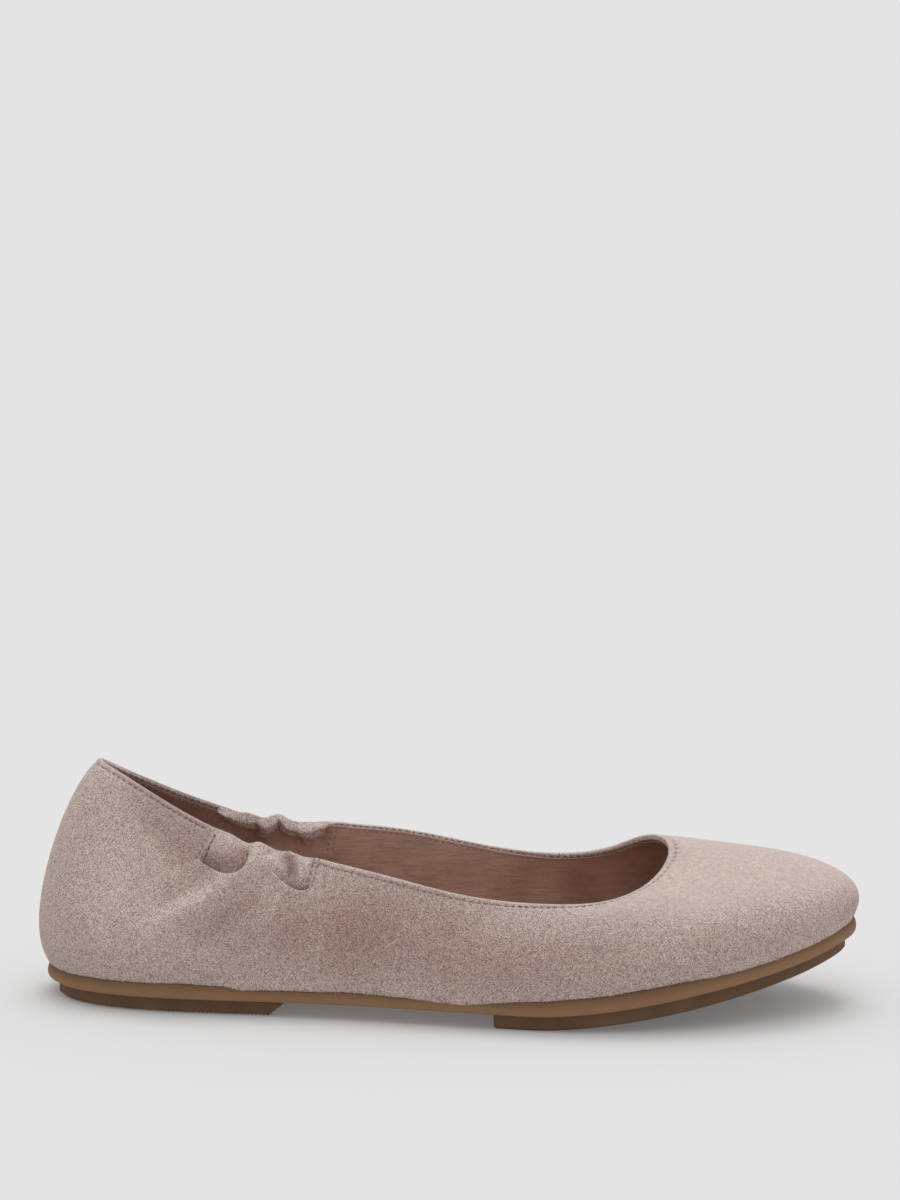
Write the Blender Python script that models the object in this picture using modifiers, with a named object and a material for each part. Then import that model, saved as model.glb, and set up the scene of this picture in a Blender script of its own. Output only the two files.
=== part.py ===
"""A right ballet flat: a suede upper gathered at the collar, a rubber midsole, a heel pad and a forefoot pad.

Metres, +Z up. +X points to the toe, +Y to the medial side, and the ground is z = 0. The upper is one open
surface between the sole's edge and the collar, given its wall by Solidify. Every place round the shoe is
measured along the sole's edge, from the heel, up the lateral side to the toe and back down the medial side.
"""

from collections import namedtuple

import bmesh
import bpy
import numpy as np

# Driving sizes
SHOE_LENGTH = 0.250  # heel back to toe tip
BALL_WIDTH = 0.0805  # midsole across the ball of the foot
HEEL_HEIGHT = 0.0721  # ground to the top of the collar at the back
INSTEP_HEIGHT = 0.0468  # ground to the front of the throat
OVERHANG = 0.010  # how far the upper's fullness is pulled out over the sole's edge
TOE_SPRING = 0.018  # rise of the sole's tip above the ground
WALL = 0.0018  # suede, reinforcement and lining together
MIDSOLE = 0.00435
OUTSOLE = 0.00485
INSOLE = 0.0022
CASING = 0.0012  # folded suede strip with its elastic
CASING_HEIGHT = 0.0062
FEATHER_INSET = 0.0008  # the upper's lower edge behind the midsole's belly
PAD_INSET = 0.0030  # outsole pads behind the midsole's belly
GATHER_DEPTH = 0.0016  # how far the deepest fold of the collar goes in
GAP = 0.0003  # between pieces that touch

# Places along the sole, as shares of SHOE_LENGTH
SPRING_START = 0.62  # the forefoot leaves the ground here
SPRING_POWER = 1.5
HEEL_PAD_FRONT = 0.296
HEEL_PAD_SLOPE = 1.2  # forward run of the heel pad's front face per unit of height
FOREFOOT_PAD_BACK = 0.570

# Rows of mesh up the upper's wall, closer together near the collar
WALL_LEVELS = (0.0, 0.05, 0.12, 0.22, 0.34, 0.47, 0.60, 0.72, 0.82, 0.91, 1.0)
CASING_STEPS = 3

# The midsole's edge, one row a section: mesh steps to the next row, place as a share of SHOE_LENGTH, and how
# far the edge lies to each side of the heel's middle line, as shares of BALL_WIDTH.
Edge = namedtuple("Edge", "steps x lateral medial")
EDGE = {
    "heel back": Edge(2, 0.012, 0.000, 0.000),
    "heel corner": Edge(3, 0.032, 0.176, 0.161),
    "heel curve": Edge(4, 0.060, 0.259, 0.242),
    "heel seat": Edge(6, 0.120, 0.336, 0.333),
    "heel front": Edge(11, 0.200, 0.370, 0.355),
    "waist back": Edge(8, 0.320, 0.384, 0.335),
    "waist": Edge(6, 0.440, 0.420, 0.342),
    "waist front": Edge(5, 0.560, 0.480, 0.408),
    "ball": Edge(5, 0.660, 0.510, 0.470),
    "tread": Edge(4, 0.748, 0.488, 0.495),
    "toe joint": Edge(4, 0.824, 0.424, 0.484),
    "toe side": Edge(4, 0.888, 0.325, 0.435),
    "toe curve": Edge(4, 0.940, 0.205, 0.343),
    "toe corner": Edge(3, 0.977, 0.062, 0.215),
    "toe tip": Edge(0, 0.994, -0.075, 0.075),
}

# The collar, one row a section: place as a share of SHOE_LENGTH, distances from the middle line as shares of
# BALL_WIDTH, and heights as shares of the straight line from the heel's top down to the throat.
Collar = namedtuple("Collar", "x lateral medial high_lateral high_medial")
COLLAR = {
    "heel back": Collar(0.078, 0.000, 0.000, 1.000, 1.000),
    "heel corner": Collar(0.085, 0.036, 0.036, 0.993, 0.985),
    "heel curve": Collar(0.105, 0.061, 0.061, 0.968, 0.957),
    "heel seat": Collar(0.145, 0.102, 0.102, 0.914, 0.905),
    "heel front": Collar(0.213, 0.174, 0.174, 0.831, 0.826),
    "waist back": Collar(0.321, 0.267, 0.265, 0.775, 0.782),
    "waist": Collar(0.437, 0.342, 0.333, 0.744, 0.780),
    "waist front": Collar(0.549, 0.383, 0.370, 0.703, 0.738),
    "ball": Collar(0.637, 0.379, 0.373, 0.720, 0.755),
    "tread": Collar(0.693, 0.333, 0.342, 0.750, 0.842),
    "toe joint": Collar(0.727, 0.255, 0.267, 0.797, 0.956),
    "toe side": Collar(0.749, 0.174, 0.186, 0.858, 1.018),
    "toe curve": Collar(0.762, 0.099, 0.112, 0.919, 1.036),
    "toe corner": Collar(0.768, 0.037, 0.050, 0.966, 1.026),
    "toe tip": Collar(0.770, -0.006, 0.006, 1.000, 1.000),
}

# The fullness of the last between the two, one row a section. A section of the wall is a curve with two
# handles. The lower one goes out by a share of OVERHANG and up by a share of the wall's rise. The upper one
# goes out by a share of the wall's reach in plan and up by a share of its rise, for each side.
Fullness = namedtuple("Fullness", "low_out low_up top_out up_lateral up_medial")
FULLNESS = {
    "heel back": Fullness(1.05, 0.14, 0.72, -0.13, -0.13),
    "heel corner": Fullness(0.95, 0.15, 0.70, -0.14, -0.14),
    "heel curve": Fullness(0.80, 0.17, 0.68, -0.16, -0.16),
    "heel seat": Fullness(0.62, 0.22, 0.66, -0.20, -0.20),
    "heel front": Fullness(0.50, 0.28, 0.64, -0.24, -0.24),
    "waist back": Fullness(0.42, 0.30, 0.62, -0.26, -0.26),
    "waist": Fullness(0.38, 0.32, 0.62, -0.26, -0.26),
    "waist front": Fullness(0.42, 0.34, 0.62, -0.24, -0.22),
    "ball": Fullness(0.50, 0.42, 0.58, -0.14, -0.10),
    "tread": Fullness(0.58, 0.55, 0.54, 0.00, 0.00),
    "toe joint": Fullness(0.68, 0.68, 0.50, 0.10, 0.00),
    "toe side": Fullness(0.80, 0.78, 0.46, 0.04, -0.11),
    "toe curve": Fullness(0.94, 0.84, 0.45, 0.00, -0.14),
    "toe corner": Fullness(1.06, 0.88, 0.45, -0.02, -0.08),
    "toe tip": Fullness(1.10, 0.89, 0.45, -0.04, -0.04),
}

# Folds of the gathered collar, the same on both sides: place as a share of SHOE_LENGTH, depth as a share of
# GATHER_DEPTH, half width as a share of SHOE_LENGTH.
Fold = namedtuple("Fold", "x depth spread")
FOLDS = (Fold(0.264, 1.0, 0.012), Fold(0.310, 0.7, 0.011), Fold(0.342, 0.5, 0.010))
FOLD_DROP = 0.6  # how far a fold pulls the edge down, as a share of its depth
FOLD_REACH = 0.35  # share of the wall that a fold runs down

# The elastic casings, from collar place to collar place
CASING_BACK = 0.222
CASING_FRONT = 0.350

# Side profiles of the flat pieces, from the bottom up: inset and height, as shares of the piece's thickness
MIDSOLE_SIDE = ((0.24, 0.0), (0.08, 0.12), (0.0, 0.42), (0.03, 0.72), (0.16, 1.0))
PAD_SIDE = ((0.16, 0.0), (0.0, 0.14), (0.0, 1.0))
INSOLE_SIDE = ((0.0, 0.0), (0.0, 0.7), (0.35, 1.0))

# Viewport colour, roughness and metallic value of each piece
SUEDE = (0.371, 0.270, 0.238, 1.0)
LEATHER = (0.168, 0.082, 0.055, 1.0)
RUBBER_LIGHT = (0.162, 0.086, 0.044, 1.0)
RUBBER_DARK = (0.075, 0.040, 0.022, 1.0)


def both_sides(lateral, medial):
    """One value a row all the way round: the lateral rows up to the toe, then the medial rows back."""
    return np.array(list(lateral) + list(medial)[-2:0:-1])


def column(table, name):
    return [getattr(row, name) for row in table.values()]


def same_both_sides(table, name):
    return both_sides(column(table, name), column(table, name))


EDGE_X = SHOE_LENGTH * same_both_sides(EDGE, "x")
EDGE_Y = BALL_WIDTH * both_sides([-y for y in column(EDGE, "lateral")], column(EDGE, "medial"))
EDGE_GAPS = np.hypot(np.roll(EDGE_X, -1) - EDGE_X, np.roll(EDGE_Y, -1) - EDGE_Y)
KNOTS = np.concatenate([[0.0], np.cumsum(EDGE_GAPS)])


def smooth(values, places):
    """A closed cubic spline through one value a row, read at places along the sole's edge."""
    count = len(values)
    slope = (np.roll(values, -1) - values) / EDGE_GAPS
    matrix = np.zeros((count, count))
    for row in range(count):
        matrix[row, row] = 2 * (EDGE_GAPS[row - 1] + EDGE_GAPS[row])
        matrix[row, row - 1] = EDGE_GAPS[row - 1]
        matrix[row, (row + 1) % count] = EDGE_GAPS[row]
    bends = np.linalg.solve(matrix, 6 * (slope - np.roll(slope, 1)))
    places = np.mod(places, KNOTS[-1])
    row = np.searchsorted(KNOTS, places, side="right") - 1
    after = (row + 1) % count
    gap = EDGE_GAPS[row]
    done = places - KNOTS[row]
    left = gap - done
    curved = (bends[row] * left**3 + bends[after] * done**3) / (6 * gap)
    return (
        curved
        + (values[row] / gap - bends[row] * gap / 6) * left
        + (values[after] / gap - bends[after] * gap / 6) * done
    )


def spring(x):
    """Rise of the sole above the ground at x, measured from the heel back."""
    start = SPRING_START * SHOE_LENGTH
    return TOE_SPRING * np.clip((x - start) / (SHOE_LENGTH - start), 0, None) ** SPRING_POWER


def mesh_places():
    """The mesh's columns round the shoe, with each row's own number of steps to the next."""
    steps = column(EDGE, "steps")[:-1]
    steps = steps + steps[::-1]
    spans = zip(KNOTS[:-1], KNOTS[1:], steps)
    return np.concatenate([np.linspace(a, b, n, endpoint=False) for a, b, n in spans])


def inward(places):
    """Plan directions square to the sole's edge, towards the foot."""
    nudge = SHOE_LENGTH * 1e-4
    along_x = smooth(EDGE_X, places + nudge) - smooth(EDGE_X, places - nudge)
    along_y = smooth(EDGE_Y, places + nudge) - smooth(EDGE_Y, places - nudge)
    return np.column_stack([-along_y, along_x]) / np.hypot(along_x, along_y)[:, None]


def edge(places, inset=0.0):
    """Plan points of the sole's edge, moved in by inset."""
    return np.column_stack([smooth(EDGE_X, places), smooth(EDGE_Y, places)]) + inset * inward(places)


def feather(places):
    """The upper's lower edge, just above the midsole."""
    plan = edge(places, FEATHER_INSET)
    return np.column_stack([plan, OUTSOLE + MIDSOLE + GAP + spring(plan[:, 0])])


def collar(places):
    """The upper's top edge, before the folds."""
    x = smooth(SHOE_LENGTH * same_both_sides(COLLAR, "x"), places)
    sides = both_sides([-y for y in column(COLLAR, "lateral")], column(COLLAR, "medial"))
    y = smooth(BALL_WIDTH * sides, places)
    share = smooth(both_sides(column(COLLAR, "high_lateral"), column(COLLAR, "high_medial")), places)
    back = COLLAR["heel back"].x * SHOE_LENGTH
    throat = COLLAR["toe tip"].x * SHOE_LENGTH
    line = HEEL_HEIGHT + (INSTEP_HEIGHT - HEEL_HEIGHT) * (x - back) / (throat - back)
    return np.column_stack([x, y, share * line])


def fold_depth(x, level):
    """How far the collar's folds go in at x and at this level of the wall, from 0 to 1."""
    total = sum(fold.depth * np.exp(-(((x / SHOE_LENGTH - fold.x) / fold.spread) ** 2)) for fold in FOLDS)
    fade = np.clip((level - 1 + FOLD_REACH) / FOLD_REACH, 0, 1)
    return GATHER_DEPTH * total * fade**2


def wall_points(places, level):
    """Points of the upper's outer face at one level, from 0 at the sole to 1 at the collar."""
    low, top = feather(places), collar(places)
    rise = (top - low) * (0, 0, 1)
    reach = (low - top) * (1, 1, 0)
    out = np.column_stack([-inward(places), np.zeros(len(places))])

    def full(name):
        return smooth(same_both_sides(FULLNESS, name), places)[:, None]

    top_up = smooth(both_sides(column(FULLNESS, "up_lateral"), column(FULLNESS, "up_medial")), places)
    low_handle = low + full("low_out") * OVERHANG * out + full("low_up") * rise
    top_handle = top + full("top_out") * reach + top_up[:, None] * rise
    t, s = level, 1 - level
    points = s**3 * low + 3 * s * s * t * low_handle + 3 * s * t * t * top_handle + t**3 * top
    fold = fold_depth(points[:, 0], level)[:, None]
    return points - fold * (out + FOLD_DROP * level**4 * np.array([0, 0, 1]))


def wall_inside(places, level, depth):
    """Points behind the outer face by depth, measured square to it."""
    nudge = SHOE_LENGTH * 1e-3
    low, high = max(level - 0.02, 0), min(level + 0.02, 1)
    along = wall_points(places + nudge, level) - wall_points(places - nudge, level)
    rising = wall_points(places, high) - wall_points(places, low)
    square = np.cross(rising, along)
    return wall_points(places, level) + depth * square / np.linalg.norm(square, axis=1, keepdims=True)


PLACES = mesh_places()
UPPER_GRID = [wall_points(PLACES, level) for level in WALL_LEVELS]
UPPER_POINTS = np.concatenate(UPPER_GRID)
CENTRE = (UPPER_POINTS.min(axis=0) + UPPER_POINTS.max(axis=0)) / 2 * (1, 1, 0)


def material(name, colour, roughness):
    made = bpy.data.materials.new(name)
    made.use_nodes = True
    made.diffuse_color = colour
    shader = made.node_tree.nodes["Principled BSDF"]
    shader.inputs["Base Color"].default_value = colour
    shader.inputs["Roughness"].default_value = roughness
    shader.inputs["Metallic"].default_value = 0.0
    return made


def add_ring(bm, points):
    return [bm.verts.new(point - CENTRE) for point in points]


def join_rings(bm, below, above, closed=True):
    """Faces between two rings of the same count that run round the shoe in the same direction."""
    last = len(below) if closed else len(below) - 1
    for i in range(last):
        j = (i + 1) % len(below)
        bm.faces.new((below[i], below[j], above[j], above[i]))


def close_ring(bm, ring):
    """Fills a ring with faces from the lateral side across to the medial side."""
    half = len(ring) // 2
    for i in range(half):
        corners = [ring[i], ring[i + 1], ring[-i - 1], ring[-i]]
        bm.faces.new(list(dict.fromkeys(corners)))


def add_object(name, bm, look, collection):
    """Turns the mesh into a named object with its faces pointing out."""
    bmesh.ops.recalc_face_normals(bm, faces=bm.faces)
    mesh = bpy.data.meshes.new(name)
    bm.to_mesh(mesh)
    bm.free()
    mesh.shade_smooth()
    mesh.set_sharp_from_angle(angle=0.7)
    mesh.materials.append(look)
    made = bpy.data.objects.new(name, mesh)
    collection.objects.link(made)
    return made


def flat_piece(inset, bottom, thickness, side):
    """A closed plate that follows the sole's edge and its spring, with a side profile."""
    bm = bmesh.new()
    rings = []
    for extra, height in side:
        plan = edge(PLACES, inset + extra * thickness)
        z = bottom + height * thickness + spring(plan[:, 0])
        rings.append(add_ring(bm, np.column_stack([plan, z])))
    for below, above in zip(rings, rings[1:]):
        join_rings(bm, below, above)
    close_ring(bm, rings[0])
    close_ring(bm, rings[-1])
    return bm


def cut_piece(bm, point, normal):
    """Keeps what lies behind the plane and closes the cut."""
    bmesh.ops.recalc_face_normals(bm, faces=bm.faces)
    everything = bm.verts[:] + bm.edges[:] + bm.faces[:]
    cut = bmesh.ops.bisect_plane(bm, geom=everything, plane_co=point, plane_no=normal, clear_outer=True)
    rim = [item for item in cut["geom_cut"] if isinstance(item, bmesh.types.BMEdge)]
    bmesh.ops.edgeloop_fill(bm, edges=rim)


def make_upper(collection, look):
    bm = bmesh.new()
    rings = [add_ring(bm, points) for points in UPPER_GRID]
    for below, above in zip(rings, rings[1:]):
        join_rings(bm, below, above)
    upper = add_object("upper", bm, look, collection)
    wall = upper.modifiers.new("wall", "SOLIDIFY")
    wall.thickness = WALL
    wall.offset = -1
    wall.use_even_offset = True
    return upper


def make_midsole(collection, look):
    bm = flat_piece(0.0, OUTSOLE, MIDSOLE, MIDSOLE_SIDE)
    return add_object("midsole", bm, look, collection)


def make_insole(collection, look):
    inset = FEATHER_INSET + WALL + 2 * GAP
    bm = flat_piece(inset, OUTSOLE + MIDSOLE + GAP, INSOLE, INSOLE_SIDE)
    return add_object("insole", bm, look, collection)


def make_heel_pad(collection, look):
    bm = flat_piece(PAD_INSET, 0.0, OUTSOLE - GAP, PAD_SIDE)
    front = (HEEL_PAD_FRONT * SHOE_LENGTH - CENTRE[0], 0, 0)
    cut_piece(bm, front, (1, 0, -HEEL_PAD_SLOPE))
    return add_object("outsole_heel", bm, look, collection)


def make_forefoot_pad(collection, look):
    bm = flat_piece(PAD_INSET, 0.0, OUTSOLE - GAP, PAD_SIDE)
    back = (FOREFOOT_PAD_BACK * SHOE_LENGTH - CENTRE[0], 0, 0)
    cut_piece(bm, back, (-1, 0, 0))
    return add_object("outsole_forefoot", bm, look, collection)


def casing_places(half):
    """The mesh's columns between the casing's two ends, on one half of the way round."""
    places = PLACES[: len(PLACES) // 2] if half == 0 else PLACES[len(PLACES) // 2 :]
    x = collar(places)[:, 0]
    return places[(x > CASING_BACK * SHOE_LENGTH) & (x < CASING_FRONT * SHOE_LENGTH)]


def make_casing(name, half, collection, look):
    """A strip behind the gathered collar: an open surface inside the wall, thickened inwards."""
    places = casing_places(half)
    depth = WALL + GAP
    tall = np.linalg.norm(collar(places) - feather(places), axis=1).mean()
    low = 1 - CASING_HEIGHT / tall
    bm = bmesh.new()
    levels = np.linspace(low, 1 - GAP / tall, CASING_STEPS + 1)
    rings = [add_ring(bm, wall_inside(places, level, depth)) for level in levels]
    for below, above in zip(rings, rings[1:]):
        join_rings(bm, below, above, closed=False)
    casing = add_object(name, bm, look, collection)
    strip = casing.modifiers.new("strip", "SOLIDIFY")
    strip.thickness = CASING
    strip.offset = -1
    return casing


def main():
    for obj in list(bpy.data.objects):
        bpy.data.objects.remove(obj, do_unlink=True)
    parts = bpy.data.collections.new("ballet_flat")
    bpy.context.scene.collection.children.link(parts)
    suede = material("suede", SUEDE, 0.95)
    leather = material("insole_leather", LEATHER, 0.55)
    light_rubber = material("midsole_rubber", RUBBER_LIGHT, 0.6)
    dark_rubber = material("outsole_rubber", RUBBER_DARK, 0.7)
    make_upper(parts, suede)
    make_casing("elastic_casing_lateral", 0, parts, suede)
    make_casing("elastic_casing_medial", 1, parts, suede)
    make_insole(parts, leather)
    make_midsole(parts, light_rubber)
    make_heel_pad(parts, dark_rubber)
    make_forefoot_pad(parts, dark_rubber)


main()
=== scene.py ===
# %% [markdown]
# # A gathered suede ballet flat
#
# The measured model of the shoe gives every size: a thin upper on its last, an insole, a rubber midsole and
# two rubber pads. This lesson dresses that model. Each piece starts as a copy of its measured solid, so it
# keeps its place, and then gets what a ruler leaves out: turned edges, stitches, puckers over the elastic,
# creases, nap and leather grain.

# %% Load the measured shoe
import math
import random
from collections import namedtuple

import bmesh
import bpy
import numpy as np
from mathutils import Matrix, Vector, noise
from mathutils.bvhtree import BVHTree
from mathutils.kdtree import KDTree


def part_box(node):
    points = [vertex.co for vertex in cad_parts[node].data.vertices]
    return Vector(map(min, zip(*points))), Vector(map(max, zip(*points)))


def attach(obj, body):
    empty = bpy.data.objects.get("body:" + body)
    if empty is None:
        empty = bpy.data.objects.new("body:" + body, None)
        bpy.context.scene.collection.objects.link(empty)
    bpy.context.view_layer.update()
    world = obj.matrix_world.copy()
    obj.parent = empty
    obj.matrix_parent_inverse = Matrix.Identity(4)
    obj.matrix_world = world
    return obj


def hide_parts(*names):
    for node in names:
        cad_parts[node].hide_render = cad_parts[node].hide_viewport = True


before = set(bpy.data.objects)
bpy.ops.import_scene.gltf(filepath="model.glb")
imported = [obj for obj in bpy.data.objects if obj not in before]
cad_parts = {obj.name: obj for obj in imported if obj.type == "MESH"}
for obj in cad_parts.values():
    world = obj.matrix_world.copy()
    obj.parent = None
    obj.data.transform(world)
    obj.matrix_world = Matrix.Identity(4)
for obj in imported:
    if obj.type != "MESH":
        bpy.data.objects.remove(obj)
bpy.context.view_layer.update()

MM = 0.001

# %% [markdown]
# ## The camera
#
# The photograph looks at the lateral side from a little above, from about 1.4 m. The shoe sits low in a tall
# picture. A lens shift would do that too, but here the camera is simply tipped up, as a photographer would,
# so that other views of the same camera stay centred.

# %% Camera
PICTURE = (900, 1200)
PIXELS_PER_MM = 3.30
AIM = Vector((1.23, 0.5, 28.65)) * MM
AIM_PIXEL = (450, 905)
CAMERA_DISTANCE = 1.4
SENSOR = 36
AZIMUTH, ELEVATION = math.radians(5.5), math.radians(13.5)

level_back = Vector((math.sin(AZIMUTH), -math.cos(AZIMUTH), 0))
back = level_back * math.cos(ELEVATION) + Vector((0, 0, math.sin(ELEVATION)))
drop_pixels = AIM_PIXEL[1] - PICTURE[1] / 2
focal_pixels = math.sqrt((PIXELS_PER_MM * CAMERA_DISTANCE / MM) ** 2 - drop_pixels**2)
lens = bpy.data.cameras.new("camera")
lens.sensor_width = SENSOR
lens.lens = SENSOR * focal_pixels / PICTURE[1]
camera = bpy.data.objects.new("camera", lens)
camera.location = AIM + back * CAMERA_DISTANCE
tip_up = Matrix.Rotation(math.atan(drop_pixels / focal_pixels), 4, "X")
camera.rotation_euler = ((-back).to_track_quat("-Z", "Y").to_matrix().to_4x4() @ tip_up).to_euler()
bpy.context.scene.collection.objects.link(camera)
bpy.context.scene.camera = camera
print("lens", round(lens.lens, 1), "mm")

# %% [markdown]
# ## Small tools
#
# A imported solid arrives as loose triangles. A copy of it is merged first, and its triangles are joined into
# the four-sided faces that subdivision likes. Subdivision could stay a live modifier, but here the dense
# mesh is needed at once, because folds and stitches are pressed into it. Subdivision also draws corners in,
# so the corners are pushed out beforehand by as much, in a few rounds.

# %% Copies and pieces
MERGE_REACH = 0.002 * MM
FITS = 3


def copy_of(node):
    """A merged copy of a measured solid, in four-sided faces."""
    bm = bmesh.new()
    bm.from_mesh(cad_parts[node].data)
    bmesh.ops.remove_doubles(bm, verts=bm.verts, dist=MERGE_REACH)
    bmesh.ops.join_triangles(bm, faces=bm.faces, angle_face_threshold=math.pi, angle_shape_threshold=math.pi)
    return bm


def subdivided(bm, levels, most=math.inf):
    """The same surface with Catmull-Clark subdivision applied, still passing through its corners. A corner
    that was pulled in by more than this, as across a wide flat face, is left where it went."""
    mesh = bpy.data.meshes.new("work")
    bm.to_mesh(mesh)
    bm.free()
    work = bpy.data.objects.new("work", mesh)
    bpy.context.scene.collection.objects.link(work)
    smoothing = work.modifiers.new("smoothing", "SUBSURF")
    smoothing.levels = smoothing.render_levels = levels
    corners = np.array([v.co for v in mesh.vertices])
    guides = corners.copy()
    for _ in range(FITS):
        made = work.evaluated_get(bpy.context.evaluated_depsgraph_get()).to_mesh()
        reached = np.array([v.co for v in made.vertices[:len(corners)]])
        pull = corners - reached
        guides += pull * (np.linalg.norm(pull, axis=1) < most)[:, None]
        mesh.vertices.foreach_set("co", guides.astype(np.float32).ravel())
        mesh.update()
    done = bmesh.new()
    done.from_mesh(work.evaluated_get(bpy.context.evaluated_depsgraph_get()).to_mesh())
    bpy.data.objects.remove(work)
    return done


def places_of(bm):
    return np.array([v.co for v in bm.verts])


def add_piece(name, bm, slot, *nodes):
    """Makes the mesh a piece of the shoe that stands for the named solids, if there are any."""
    mesh = bpy.data.meshes.new(name)
    bm.to_mesh(mesh)
    bm.free()
    mesh.materials.clear()
    mesh.shade_smooth()
    piece = bpy.data.objects.new(name, mesh)
    bpy.context.scene.collection.objects.link(piece)
    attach(piece, "root")
    if nodes:
        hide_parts(*nodes)
    print(name, sum(len(face.vertices) - 2 for face in mesh.polygons), "triangles")
    return piece


def keep_value(piece, name, values):
    """Stores one number for each vertex, for a material to read."""
    layer = piece.data.attributes.new(name, "FLOAT", "POINT")
    layer.data.foreach_set("value", np.asarray(values, np.float32))


def smooth_step(values):
    """Rises softly from 0 to 1 as the values do."""
    values = np.clip(values, 0, 1)
    return values * values * (3 - 2 * values)


# %% [markdown]
# ## The lines of the upper
#
# The wall of the upper ends in four sharp lines: outside and inside, at the collar and at the sole. Everything
# on the upper is placed from them, the way a maker marks a seam a few millimetres under the edge. The lines
# are found by their sharp angle and followed from vertex to vertex.

# %% Follow the sharp lines
def sharp_loops(bm):
    """The closed runs of sharp edges, as lists of edges in order."""
    left = {edge for edge in bm.edges if edge.calc_face_angle() > 1}
    loops = []
    while left:
        edge = left.pop()
        run, tip = [edge], edge.verts[1]
        while True:
            following = [e for e in tip.link_edges if e in left]
            if not following:
                break
            left.remove(following[0])
            run.append(following[0])
            tip = following[0].other_vert(tip)
        loops.append(run)
    return loops


def length_of(run):
    return sum(edge.calc_length() for edge in run)


def height_of(run):
    return sum(edge.verts[0].co.z for edge in run) / len(run)


wall = copy_of("upper")
crease = wall.edges.layers.float.new("crease_edge")
by_height = sorted(sharp_loops(wall), key=height_of)
inner_feather, outer_feather = sorted(by_height[:2], key=length_of)
inner_collar, outer_collar = sorted(by_height[2:], key=length_of)
for name, run in (("collar", outer_collar), ("sole line", outer_feather)):
    print(name, round(length_of(run) / MM), "mm round")

# %% [markdown]
# A line needs two readings at any point of the wall: how far along the line it is, and how far below it.
# The line is drawn densely through its vertices, and a k-d tree finds the nearest place on it.

# %% Read places from a line
def curve_through(knots, steps):
    """Points on a smooth curve from the second knot to the last but one. The end knots only steer it."""
    a, b, c, d = (knots[i:len(knots) - 3 + i, None] for i in range(4))
    t = np.linspace(0, 1, steps, endpoint=False)[None, :, None]
    curve = b + 0.5 * t * (c - a + t * (2 * a - 5 * b + 4 * c - d + t * (3 * (b - c) + d - a)))
    return curve.reshape(-1, knots.shape[1])


LINE_STEPS = 24  # points between two vertices


class Line:
    """A closed line round the shoe, measured from the heel along the lateral side."""

    def __init__(self, run):
        corners = [edge.verts[0] if edge.verts[0] in after.verts else edge.verts[1]
                   for edge, after in zip(run, run[1:] + run[:1])]
        knots = np.array([corner.co for corner in corners])
        knots = np.roll(knots, -int(knots[:, 0].argmin()), axis=0)
        if knots[len(knots) // 4, 1] > 0:
            knots = np.roll(knots[::-1], 1, axis=0)
        self.points = curve_through(np.vstack([knots[-1:], knots, knots[:2]]), LINE_STEPS)
        steps = np.linalg.norm(np.roll(self.points, -1, 0) - self.points, axis=1)
        self.along = np.concatenate([[0], np.cumsum(steps)[:-1]])
        self.length = steps.sum()
        self.tree = KDTree(len(self.points))
        for index, point in enumerate(self.points):
            self.tree.insert(point, index)
        self.tree.balance()

    def read(self, places):
        """How far along and how far from the line each place is."""
        found = [self.tree.find(place) for place in places]
        return self.along[[f[1] for f in found]], np.array([f[2] for f in found])

    def point(self, along):
        """The points of the line at these lengths along it."""
        wrapped = np.mod(along, self.length)
        ends = np.append(self.along, self.length)
        closed = np.vstack([self.points, self.points[:1]])
        return np.column_stack([np.interp(wrapped, ends, closed[:, axis]) for axis in range(3)])


outside_line, inside_line = Line(outer_collar), Line(inner_collar)
sole_line = Line(outer_feather)
for name, line in (("outside", outside_line), ("inside", inside_line)):
    print(name, "collar line", round(line.length / MM, 1), "mm")

# %% [markdown]
# ## Suede outside, leather inside
#
# The upper is two skins sewn together at the collar. The suede is turned over the edge, so it covers the rim
# and a little of the inside, and the lining starts just below. Both skins are made from one copy: the rim is
# rounded with a bevel, each face is told which skin it belongs to, and the whole is subdivided before the two
# are parted, so that they still meet exactly.

# %% Round the rim and subdivide
RIM_ROUND = 0.55 * MM
FEATHER_CREASE = 0.8  # how sharp the lower edges stay


def spread_from(face, borders):
    """All faces that join this one without crossing a border edge."""
    group, front = {face}, [face]
    while front:
        for edge in front.pop().edges:
            if edge not in borders:
                for other in edge.link_faces:
                    if other not in group:
                        group.add(other)
                        front.append(other)
    return group


borders = set(inner_feather + outer_feather + inner_collar + outer_collar)
inner_edges = set(inner_collar)
rim = {face for edge in outer_collar for face in edge.link_faces if not inner_edges.isdisjoint(face.edges)}
inside_start = next(face for face in inner_collar[0].link_faces if face not in rim)
for face in spread_from(inside_start, borders):
    face.material_index = 1
for edge in inner_feather + outer_feather:
    edge[crease] = FEATHER_CREASE
turned = bmesh.ops.bevel(wall, geom=outer_collar + inner_collar, offset=RIM_ROUND, segments=1, profile=0.5,
                         affect="EDGES", material=-1)
for face in turned["faces"]:
    face.material_index = 0
wall = subdivided(wall, 2)
print("both skins", len(wall.faces), "faces")

# %% [markdown]
# The puckers and stitches need smaller faces than the plain parts of the shoe. Only the band under the collar
# and the sides of the heel opening are divided again, which keeps the rest light.

# %% Part the skins and refine them
GATHER_ZONE = (-92 * MM, -28 * MM, 15.5 * MM)  # from, to, and how far down the wall
STITCH_ZONE = 2.9 * MM
FINE_EDGE = 0.45 * MM  # a shorter edge isn't divided again


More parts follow.
